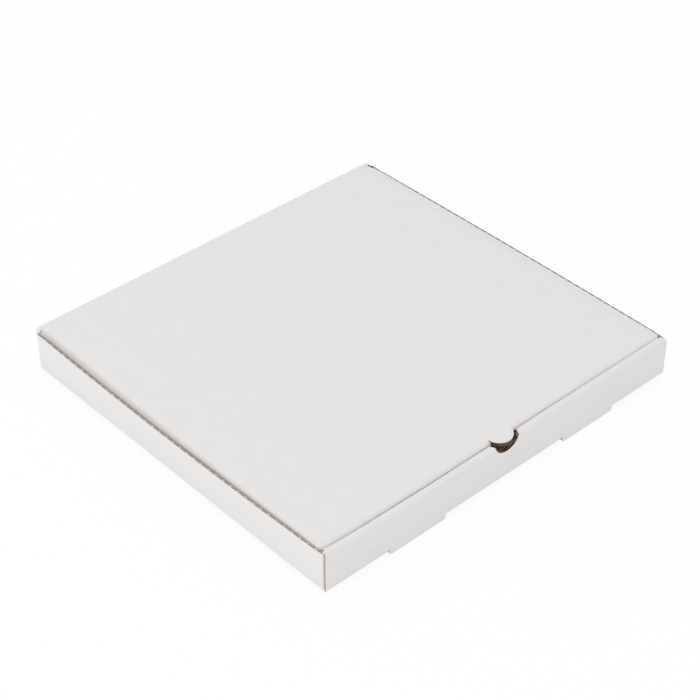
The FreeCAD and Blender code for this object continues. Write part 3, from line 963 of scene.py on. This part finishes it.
        # At a crushed end the inner face comes out to the outer one, and up under the roll.
        crush = smooth((np.abs(x) - (half - self.crush_front)) / self.crush_front) * (
            t - self.crushed_end)
        facing = smooth((m[4] + 1.0 - v) / 2.0)[None]
        raised = crush * smooth((v - m[3]) / (m[4] - m[3]))[None] * (v < m[5] + TINY)[None] * (
            np.abs(x) > self.inner_half + 0.2)
        # The roll's uneven top line fades out on the way down both layers.
        high = smooth((np.maximum(oz, iz) - base - self.lift_from) / self.lift_run)[None]
        lift = self.roll_lift(x) * high
        # The roll is pressed from behind, so whatever lies further back moves further forward.
        pressed = self.pressed(x)
        outer_y = oy - pressed * smooth((oy - front) / (back - front))
        inner_y = iy - crush * facing - pressed * smooth(
            (iy - front - t) / (back - front - t)) * 0.8
        outer = joined(x, outer_y, oz + lift)
        inner = joined(x, inner_y, iz + lift + raised)
        flat = joined(x, self.front + self.corner - v[None])

        cell_x, cell_v = (x0[1:] + x0[:-1]) / 2, (v[1:] + v[:-1]) / 2
        keep = np.ones((len(x0) - 1, len(v) - 1), bool)
        keep &= ~((np.abs(cell_x) < SLIT)[:, None] & between(cell_v, climb[0], fall[0])[None])
        feet, tabs = self.foot_marks(), self.foot_marks(self.lock_gap)
        foot = between(cell_x, *feet[:2]) | between(cell_x, *feet[2:])
        tab = between(cell_x, *tabs[:2]) | between(cell_x, *tabs[2:])
        keep &= ~(foot[:, None] & (cell_v < m[2])[None])
        keep &= ~(~tab[:, None] & (cell_v > slot_end)[None])
        outside = (np.abs(cell_x) > self.inner_half)[:, None]
        keep &= ~(outside & ((cell_v < m[1]) | (cell_v > cap))[None])
        side = int(np.argmin(np.abs(x0 + SLIT)))
        first, last = np.argmin(np.abs(v - climb[0])), np.argmin(np.abs(v - fall[0]))
        arc = slice(int(first), int(last) + 1)
        return Panel(outer, inner, flat, keep, [(side, arc, -1), (side + 1, arc, 1)])

    def roll_lift(self, x: Array) -> Array:
        """Give how far the roll stands above its even height.

        Args:
            x: places along the front.

        Returns:
            The rise at each place.
        """
        marks = [-143.6, -139.0, -135.0, -110.0, -60.0, -10.0, 30.0, 100.0, 138.0, 141.5, 143.6]
        lifts = [1.9, 1.2, 0.5, -0.4, -1.2, -0.9, 0.2, 0.4, 0.4, 0.1, -1.4]
        return np.interp(x, marks, lifts)

    def pressed(self, x: Array) -> Array:
        """How much thinner than its even thickness the roll is pressed, more on the right."""
        return 1.15 + 0.35 * smooth((x + 30.0) / 60.0)

    def feet(self) -> list[Panel]:
        """Build the two tongues on the front wall's lower edge, tapered to round corners.

        Each end is drawn in by the taper, which grows evenly downwards, and near the bottom by
        a quarter circle of 1 mm: 1 - sqrt(1 - (1 - z)^2).

        Returns:
            A panel for each foot.
        """
        panels = []
        front, base, t = self.front, self.under + BOARD.crease, BOARD.thickness
        for middle in (-self.foot_place, self.foot_place):
            s = np.linspace(-1.0, 1.0, 25)[:, None]
            z = np.array([base, 3.8, 3.3, 2.0, 1.0, 0.4, 0.1, 0.0])[None]
            rounded = 1 - np.sqrt(np.clip(1 - (1 - np.minimum(z, 1.0)) ** 2, 0.0, 1.0))
            drawn = self.foot_taper * np.clip((base - z) / base, 0.0, 1.0) + rounded
            x = middle + s * (self.foot_length / 2 - drawn)
            outer = joined(x, front, z)
            inner = joined(x, front + t, z)
            flat = joined(x, z - self.blank_foot)
            keep = np.ones((s.size - 1, z.size - 1), bool)
            panels.append(Panel(outer, inner, flat, keep))
        return panels

    def rear_wall(self) -> Panel:
        """Build the rear wall from its lower fold to the seam below the hinge.

        Returns:
            The panel.
        """
        t, r, ri = BOARD.thickness, BOARD.crease, BOARD.fold_inner
        rear, base = self.rear, self.under
        outer_line = FoldedLine([(rear - self.corner, base), (rear, base), (rear, self.seam)],
                                [r])
        inner_line = FoldedLine([(rear - self.corner, base + t), (rear - t, base + t),
                                 (rear - t, self.seam)], [ri])
        m = outer_line.marks
        v = stations(np.concatenate([np.linspace(m[1], m[2], 7), m]), 4.0)
        oy, oz = outer_line.at(v)
        iy, iz = outer_line.beside(v, inner_line)
        run = self.crush_rear
        ends = self.rear_half - np.array([0.0, 0.7, 1.5, 3.0, run])
        x = stations([*ends, *-ends], 9.0)[:, None]
        crush = smooth((np.abs(x) - self.rear_half + run) / run) * (t - self.crushed_end)
        outer = joined(x, oy[None], oz[None])
        inner = joined(x, iy[None] + crush * smooth(
            (v - m[2]) / 3.0), iz[None])
        flat = joined(x, rear - self.corner + v[None])
        keep = np.ones((len(x) - 1, len(v) - 1), bool)
        return Panel(outer, inner, flat, keep)

    def build(self, finishes: Finishes) -> bpy.types.Object:
        """Make the tray's sheet and put it in the place of the solid one.

        Args:
            finishes: the materials of the board.

        Returns:
            The object.
        """
        panels = [self.base(), self.front_wall(), *self.feet(), self.rear_wall()]
        made = board_object("tray_sheet", panels, finishes)
        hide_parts("tray")
        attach(made, "tray")
        return made


@dataclass
class Lid:
    """Lid panel with side flaps, front flap and thumb tab, and the fold that carries it.

    Attributes:
        fall: how much lower the lid's front is than its hinge line.
        turn: the lid's turn in its plane, as a slope.
        shoulder: how much of the side flaps stays below their folds next to the hinge.
        reach: distance from the hinge line to the front fold.
        seam: distance from the hinge line at which sheet and hinge fold meet.
        flap_back: where a side flap starts, from the hinge line; flap_front is where it ends.
        flap_lean: the front flap's angle from upright.
        hinge_left: the hinge fold's left end; hinge_right is the right one.
        rest_left: height on which the hinge fold's left end rests; rest_right is the right's.
        rest_half: half width past which the left end rests on the side wall.
        tab_near: place of the last grid column that moves round the thumb tab.
        bow: bulge of the left side wall, which the left flap follows.
        bow_less: how much less the right side wall bulges.
        wall_low: height from which the side walls bulge, over wall_rise up to their tops.
        wall_half: half length of the side walls' bulge.
        twist: how much higher the front right corner lies.
        stand_out: how far the tops of the side flaps and their folds stand out.
        flare_left: how much wider the sheet is at the hinge; flare_right is the right side's.
        bend_outer: radius of the hinge fold's outer face; bend_inner is the inner face's.
        blank_hinge: place of the sheet in the blank laid flat; blank_fold is the hinge fold's.
    """

    half: float = 141.0
    pivot_y: float = 135.15
    pivot_z: float = 32.95
    fall: float = 3.7
    depth: float = 273.0
    turn: float = -0.0042
    side_fold: float = 2.3
    shoulder: float = 1.2
    front_fold: float = 3.0
    front_sag: float = 0.3
    tab_shift: float = 1.5
    tab_droop: float = 0.8
    reach: float = 263.0
    seam: float = 3.35
    side_flap: float = 20.0
    front_flap: float = 19.0
    flap_lean: float = 4.0
    flap_back: float = 7.0
    flap_front: float = 260.8
    flap_taper: float = 5.0
    tab_half: float = 8.7
    tab_reach: float = 5.8
    tab_near: float = 18.0
    hinge_left: float = 143.5
    hinge_right: float = 140.3
    rest_left: float = 30.8
    rest_right: float = 29.9
    rest_half: float = 141.1
    bow: float = 2.0
    bow_less: float = 1.1
    wall_low: float = 6.3
    wall_rise: float = 23.8
    wall_half: float = 131.0
    twist: float = 0.9
    stand_out: float = 1.2
    flare_left: float = 2.5
    flare_right: float = -0.7
    flare_run: float = 12.0
    bend_outer: float = 2.2
    bend_inner: float = 0.5
    blank_hinge: float = 145.0
    blank_fold: float = 157.0

    @property
    def radius(self) -> float:
        """Half the board's thickness, the reach of both faces from the hinge line."""
        return BOARD.thickness / 2

    def placed(self, local: Array) -> Array:
        """Turn points about the hinge line by the lid's fall and bring them to its place.

        Args:
            local: points about the hinge line, with the lid level.

        Returns:
            The points in the box's axes.
        """
        angle = np.arcsin(self.fall / self.depth)
        c, s = np.cos(angle), np.sin(angle)
        x, y, z = local[..., 0], local[..., 1], local[..., 2]
        return np.stack([x, self.pivot_y + c * y - s * z, self.pivot_z + s * y + c * z], -1)

    def sheet(self) -> Panel:
        """Build the panel with its three flaps.

        Across the box a line runs up one side flap, over the panel and down the other; along
        the box another runs from the hinge over the front fold and down the front flap. A point
        of the lid takes x from the first, y from the second, and the sum of both heights.
        Cells beyond both folds are left out, so the flaps part at the corners.

        Returns:
            The panel.
        """
        t, r, ri, top = BOARD.thickness, BOARD.fold, BOARD.fold_inner, self.radius
        hem = -top - self.side_flap
        across = FoldedLine([(-self.half, hem), (-self.half, top), (self.half, top),
                             (self.half, hem)], [self.side_fold, self.side_fold])
        lining = FoldedLine([(-self.half + t, hem), (-self.half + t, -top),
                             (self.half - t, -top), (self.half - t, hem)], [ri, ri])
        m = across.marks
        middle = (m[2] + m[3]) / 2
        lean = np.radians(self.flap_lean)
        down = self.front_flap + r
        way = np.array([np.sin(lean), -np.cos(lean)])
        knee = -(self.reach + r)
        inner_knee = -(self.reach + ri)
        along = FoldedLine([(-self.seam, top), (knee, top),
                            (knee + down * way[0], top + down * way[1])],
                           [self.front_fold])
        under = FoldedLine([(-self.seam, -top), (inner_knee, -top),
                            (inner_knee + self.front_flap * way[0],
                             -top + self.front_flap * way[1])], [ri])
        n = along.marks

        near = self.tab_near
        hems, beside = np.array([0.0, 0.8, 3.0, 8.0]), np.linspace(SLIT, near, 9)
        u = stations(np.concatenate([
            hems, [m[1] - self.shoulder, m[4] + self.shoulder], np.linspace(m[1], m[2], 9),
            np.linspace(m[3], m[4], 9), m[-1] - hems, middle + beside, middle - beside]), 9.0)
        window = self.tab_profile()
        v = stations(np.concatenate([
            n, self.flap_back - self.seam + np.array([0.0, 1.0]),
            self.flap_front - self.seam - np.array([0.0, 1.0]), np.linspace(n[1], n[2], 9),
            n[2] + window[0]]), 6.0)
        ax, az = across.at(u)
        bx, bz = across.beside(u, lining)
        ay, ah = along.at(v)
        by, bh = along.beside(v, under)

        spot = u - middle
        width = np.interp(v - n[2], window[0], window[1], left=self.tab_half, right=0.0)
        opening = np.where(v >= n[1] - TINY, np.maximum(width, SLIT), SLIT)
        opening = np.where(v > n[2] + self.tab_reach + TINY, SLIT, opening)
        parted = part_columns(spot, opening, near)
        parted = parted + self.tab_shift * (1 - np.abs(parted) / near)
        beside_tab = np.abs(spot)[:, None] <= near + TINY
        x = np.where(beside_tab, parted, ax[:, None])
        lx = np.where(beside_tab, parted, bx[:, None])
        fallen = np.clip((v - n[2]) / (n[3] - n[2]), 0.0, 1.0)
        drawn = 1 - self.flap_taper / (self.half - r) * fallen
        flap_column = np.abs(x) > near
        x = np.where(flap_column & (v > n[2])[None], x * drawn, x)
        lx = np.where(flap_column & (v > n[2])[None], lx * drawn, lx)

        flap_row = (u < m[1]) | (u > m[4])
        sunk = np.clip(np.where(u < middle, m[1] - u, u - m[4]) / m[1], 0.0, 1.0)[:, None]
        mid_v = (self.flap_front + self.flap_back) / 2 - self.seam
        span = (self.flap_front - self.flap_back) / 2
        drawn_y = np.interp(v, [mid_v - span, mid_v + span],
                            [-self.flap_taper, self.flap_taper])
        tapered = np.where(flap_row[:, None], sunk * drawn_y[None], 0.0)
        y, ly = ay[None] + tapered, by[None] + tapered
        crown = self.crown(x, ay[None])
        z = az[:, None] + ah[None] - top + crown
        lz = bz[:, None] + bh[None] + top + crown
        outer = self.placed(self.skewed(joined(x, y, z)))
        inner = self.placed(self.skewed(joined(lx, ly, lz)))
        flat = joined(spot[:, None], self.blank_hinge - v[None])

        cu, cv = (u[1:] + u[:-1]) / 2, (v[1:] + v[:-1]) / 2
        fold_cell = (cu < m[2]) | (cu > m[3])
        deep_side = (cu < m[1]) | (cu > m[4])
        lower = (cu < m[1] - self.shoulder) | (cu > m[4] + self.shoulder)
        keep = ~(deep_side[:, None] & (cv > self.flap_front - self.seam)[None])
        keep &= ~(fold_cell[:, None] & (cv > n[2])[None])
        keep &= ~(lower[:, None] & (cv < self.flap_back - self.seam)[None])
        keep &= ~((np.abs(cu - middle) < SLIT)[:, None]
                  & between(cv, n[1], n[2] + self.tab_reach)[None])
        first = int(np.argmin(np.abs(v - (self.flap_back - self.seam))))
        last = int(np.argmin(np.abs(v - (self.flap_front - self.seam))))
        hem_run = slice(first, last + 1)
        # The liner is stretched round the side folds, and less towards the front.
        # Painted shade down the lid's side folds, where they turn away from the light beside the
        # walls; it fades out towards the front.
        from_fold = np.maximum(np.abs(spot) - (m[3] - middle), 0.0) / 4.5
        painted_shade = smooth(from_fold + 0.2 * (from_fold > 0))[:, None] * smooth(
            (self.reach + ay + 4.0) / 20.0)[None]
        return Panel(outer, inner, flat, keep,
                     [(0, hem_run, 1), (len(u) - 1, hem_run, -1)], painted_shade)

    def skewed(self, local: Array) -> Array:
        """Give the level lid the unevenness with which it sits in the tray.

        It is turned a little in its plane and twisted, so its front right corner lies forward
        and high. The side flaps follow the bulge of the side walls, bow * (1 - (y / half)^2)
        at the top, and above it they stand out a little. At the side folds the panel is pressed
        in towards the hinge, so that the folds slope like a chamfer there and are round at the
        front. Next to the hinge the sheet's ends widen to those of the hinge fold.

        Args:
            local: points about the hinge line.

        Returns:
            The moved points.
        """
        x, y, z = local[..., 0], local[..., 1], local[..., 2]
        right = smooth(x / 100.0 + 0.5)
        side = smooth(np.abs(x) / self.half * 3.0 - 2.0) * np.sign(x)
        long = (y + self.reach / 2 + 3.0) / self.wall_half
        height = self.pivot_z + z + self.fall * y / self.depth
        bulge = (self.bow - self.bow_less * right) * np.clip(
            (height - self.wall_low) / self.wall_rise, 0.0, 1.1) * np.clip(1 - long**2, 0.0, 1.0)
        free = smooth(-y / self.flare_run)
        out = self.stand_out * smooth((height - 24.0) / 6.0) * free
        out = out + np.where(x < 0, self.flare_left, self.flare_right) * (1 - free)
        places = [-265.0, -230.0, -135.0, -40.0, 0.0]
        pressed_left = np.interp(y, places, [0.0, 0.3, 1.2, 1.0, 0.2])
        pressed_right = np.interp(y, places, [-0.8, -0.2, 1.0, 2.0, 2.4])
        pressed = np.where(x < 0, pressed_left, pressed_right)
        pressed = pressed * smooth((height - self.flap_level(y)) / 3.4)
        swing = self.turn * x * smooth(-y / 80.0)
        twist = self.twist * right * smooth(-y / self.depth)
        sag = self.front_sag * smooth((-y - self.reach + 5.0) / 5.0)
        return np.stack([x + side * (bulge + out - pressed), y + swing, z + twist - sag], -1)

    def flap_level(self, y: Array) -> Array:
        """Height at which the side flaps have come down to their upright part."""
        return self.pivot_z + self.radius + self.fall * y / self.depth - 3.6

    def crown(self, x: Array, y: Array) -> Array:
        """Give the slow unevenness of the panel, a low wave that fades out at its folds.

        Args:
            x: places across the lid.
            y: places along the lid, from the hinge line.

        Returns:
            The height at each place.
        """
        free = np.clip(1 - (x / (self.half - 3.0)) ** 2, 0.0, 1.0) * np.clip(
            -y / 60.0, 0.0, 1.0) * np.clip((self.reach + y) / 40.0, 0.0, 1.0)
        return free * (0.25 * np.sin(x / 37.0 + 0.6) * np.cos(y / 52.0) - 0.25)

    def tab_profile(self) -> tuple[Array, Array]:
        """Half width of the half-moon tab.

        The tab is a circle's segment through both roots and the tip; at a distance from the
        root the half width is sqrt(R^2 - (distance + R - reach)^2).

        Returns:
            Distances from the root and the half width at each.
        """
        radius = (self.tab_half**2 + self.tab_reach**2) / (2 * self.tab_reach)
        angle = np.linspace(np.arcsin(min((radius - self.tab_reach) / radius, 1.0)),
                            np.pi / 2, 14)
        return radius * np.sin(angle) - radius + self.tab_reach, radius * np.cos(angle)

    def tab(self) -> Panel:
        """Build the thumb tab, which stays in the lid's plane.

        Returns:
            The panel.
        """
        distance, width = self.tab_profile()
        root = self.reach + BOARD.fold
        bend = self.front_fold * np.tan(np.radians(45.0 + self.flap_lean / 2))
        y = -np.concatenate([[root - bend, self.reach + BOARD.fold / 2], root + distance])
        half = np.maximum(np.concatenate([[self.tab_half, self.tab_half], width]), 0.05)
        s = np.linspace(-1.0, 1.0, 17)[:, None]
        x = s * half[None]
        x = x + self.tab_shift * (1 - np.abs(x) / self.tab_near)
        droop = self.tab_droop * np.clip((-y - root + 2.0) / (self.tab_reach + 2.0), 0.0, 1.0) ** 2
        layer = [joined(x, y[None], z - droop[None])
                 for z in (self.radius, -self.radius)]
        flat = joined(x, self.blank_hinge + self.seam + y[None])
        outer, inner = (self.placed(self.skewed(spots)) for spots in layer)
        return Panel(outer, inner, flat, np.ones((len(s) - 1, len(y) - 1), bool))

    def crease(self) -> Panel:
        """Build the fold between rear wall and lid, from one seam round to the other.

        Its ends are closed: over the last stretch a quarter circle draws the outer face in,
        side_fold * (1 - sqrt(1 - away^2)), and the inner face comes out to meet it.

        Returns:
            The panel.
        """
        top = self.radius
        angle = np.arcsin(self.fall / self.depth)
        start = (self.pivot_y + top, self.pivot_z - self.seam)
        corner = (self.pivot_y + top, self.pivot_z + top)
        end = (self.pivot_y - self.seam * np.cos(angle) - top * np.sin(angle),
               self.pivot_z - self.seam * np.sin(angle) + top * np.cos(angle))
        outer_line = FoldedLine([start, corner, end], [self.bend_outer])
        inner_start = (self.pivot_y - top, self.pivot_z - self.seam)
        inner_corner = (self.pivot_y - top * 0.8, self.pivot_z - top * 0.8)
        inner_end = (self.pivot_y - self.seam * np.cos(angle) + top * np.sin(angle),
                     self.pivot_z - self.seam * np.sin(angle) - top * np.cos(angle))
        inner_line = FoldedLine([inner_start, inner_corner, inner_end], [self.bend_inner])
        m = outer_line.marks
        v = stations(np.concatenate([m, np.linspace(m[1], m[2], 12)]), 0.3)
        oy, oz = outer_line.at(v)
        iy, iz = outer_line.beside(v, inner_line)
        ends = np.array([0.0, 0.06, 0.2, 0.5, 1.0, 1.6, 2.3])
        x = stations([*(ends - self.hinge_left), *(self.hinge_right - ends)], 12.0)[:, None]
        end = np.where(x < 0, self.hinge_left, self.hinge_right)
        away = np.clip((np.abs(x) - end + self.side_fold) / self.side_fold, 0.0, 1.0)
        cap = self.side_fold * (1 - np.sqrt(1 - away**2))
        fill = smooth(2.0 * away)
        rest = np.where(x < -self.rest_half, self.rest_left, 0.0)
        outer_y = np.minimum(oy[None], self.pivot_y + top - cap)
        outer_z = np.maximum(np.minimum(oz[None], self.pivot_z + top - cap), rest)
        # A closed end's inner face lies close inside the outer one, never through it.
        low_y = np.interp(v, [v[0], v[-1]], [self.pivot_y + top - 0.4, iy[-1]])[None]
        inner_y = np.minimum(iy[None] + (low_y - iy[None]) * fill, outer_y - 0.05 * (away > 0))
        resting = np.where(x < 0, self.rest_left, self.rest_right)
        inner_z = iz[None] + (resting - iz[None]) * fill
        outer = joined(x, outer_y, outer_z)
        inner = joined(x, inner_y, inner_z)
        flat = joined(x, self.blank_fold + v[None])
        # The outer liner is drawn in round the crushed ends of the fold.
        wrapped = ((x[1:] + x[:-1] < 2 * self.side_fold - 2 * self.hinge_left)
                   | (x[1:] + x[:-1] > 2 * self.hinge_right - 2 * self.side_fold))
        return Panel(outer, inner, flat, np.ones((len(x) - 1, len(v) - 1), bool),
                     wrapped=wrapped)

    def build(self, finishes: Finishes) -> list[bpy.types.Object]:
        """Make the lid's sheet and the fold that bends between tray and lid.

        Args:
            finishes: the materials of the board.

        Returns:
            Both objects.
        """
        sheet = board_object("lid_sheet", [self.sheet(), self.tab()], finishes)
        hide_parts("lid")
        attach(sheet, "lid")
        fold = board_object("hinge_fold", [self.crease()], finishes)
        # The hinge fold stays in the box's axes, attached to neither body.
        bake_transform(fold)
        return [sheet, fold]


@dataclass
class Studio:
    """Pale floor, soft light and the camera of the picture."""

    eye: tuple[float, float, float] = (-0.645, -0.703, 0.7714)
    target: tuple[float, float, float] = (0.01325, 0.01469, 0.0033)
    lens: float = 99.15
    sky: float = 0.915
    key_watts: float = 2.9
    fill_watts: float = 0.2

    def camera(self) -> None:
        """Place the camera at the picture's angle."""
        lens = bpy.data.cameras.new("camera")
        lens.lens = self.lens
        lens.sensor_width = 36.0
        lens.clip_start = 0.01
        made = bpy.data.objects.new("camera", lens)
        made.location = self.eye
        aim = Vector(self.target) - Vector(self.eye)
        made.rotation_euler = aim.to_track_quat("-Z", "Y").to_euler()
        bpy.context.scene.collection.objects.link(made)
        bpy.context.scene.camera = made

    def lamp(self, name: str, spot: tuple[float, float, float], size: float,
             watts: float) -> None:
        """Hang a soft square lamp that faces the box.

        Args:
            name: the lamp's name.
            spot: where it hangs.
            size: the length of its side.
            watts: its power.
        """
        light = bpy.data.lights.new(name, "AREA")
        light.shape = "SQUARE"
        light.size = size
        light.energy = watts
        made = bpy.data.objects.new(name, light)
        made.location = spot
        made.rotation_euler = (-Vector(spot)).to_track_quat("-Z", "Y").to_euler()
        bpy.context.scene.collection.objects.link(made)

    def world(self) -> None:
        """Light the scene from all round, and show the sky as white to the camera."""
        world = bpy.data.worlds.new("studio")
        world.use_nodes = True
        tree = world.node_tree
        tree.nodes.clear()
        path = add_node(tree, "ShaderNodeLightPath")
        seen = add_node(tree, "ShaderNodeMath", {
            0: path.outputs["Is Camera Ray"], 1: path.outputs["Is Glossy Ray"]},
            operation="MAXIMUM").outputs["Value"]
        light = add_node(tree, "ShaderNodeBackground", {
            "Color": linear("FFFFFF"), "Strength": self.sky}).outputs["Background"]
        white = add_node(tree, "ShaderNodeBackground", {
            "Color": linear("FFFFFF"), "Strength": 1.0}).outputs["Background"]
        mixed = add_node(tree, "ShaderNodeMixShader", {0: seen, 1: light, 2: white})
        add_node(tree, "ShaderNodeOutputWorld", {"Surface": mixed.outputs["Shader"]})
        bpy.context.scene.world = world

    def floor(self) -> None:
        """Lay a pale painted floor that shows white and keeps a faint shadow."""
        far, low = 6.0, -0.1 * MM
        mesh = bpy.data.meshes.new("studio_floor")
        mesh.from_pydata([(-far, -far, low), (far, -far, low), (far, far, low),
                          (-far, far, low)], [], [(0, 1, 2, 3)])
        made = bpy.data.objects.new("studio_floor", mesh)
        bpy.context.scene.collection.objects.link(made)
        material = bpy.data.materials.new("white_painted_floor")
        material.use_nodes = True
        tree = material.node_tree
        tree.nodes.clear()
        path = add_node(tree, "ShaderNodeLightPath")
        paint = add_node(tree, "ShaderNodeBsdfDiffuse", {"Color": linear("F9F9F9")})
        glow = add_node(tree, "ShaderNodeEmission", {"Color": linear("FFFFFF"),
                                                     "Strength": 1.0})
        lit = add_node(tree, "ShaderNodeBsdfDiffuse", {"Color": linear("FFFFFF")})
        shown = add_node(tree, "ShaderNodeMixShader", {
            0: 0.1, 1: glow.outputs["Emission"], 2: lit.outputs["BSDF"]})
        mixed = add_node(tree, "ShaderNodeMixShader", {
            0: path.outputs["Is Camera Ray"], 1: paint.outputs["BSDF"],
            2: shown.outputs["Shader"]})
        add_node(tree, "ShaderNodeOutputMaterial", {"Surface": mixed.outputs["Shader"]})
        mesh.materials.append(material)

    def build(self) -> None:
        """Set up camera, light and floor."""
        self.camera()
        self.world()
        self.floor()
        self.lamp("key_left", (-1.3, 0.1, 0.75), 1.0, self.key_watts)
        self.lamp("fill_front", (0.3, -1.6, 0.9), 1.2, self.fill_watts)
        bpy.context.scene.view_settings.view_transform = "Standard"


def main() -> None:
    """Build the box and its studio."""
    logging.basicConfig(level=logging.INFO, format="%(name)s: %(message)s")
    finishes = make_finishes()
    Tray().build(finishes)
    Lid().build(finishes)
    Studio().build()


if __name__ == "__main__":
    main()
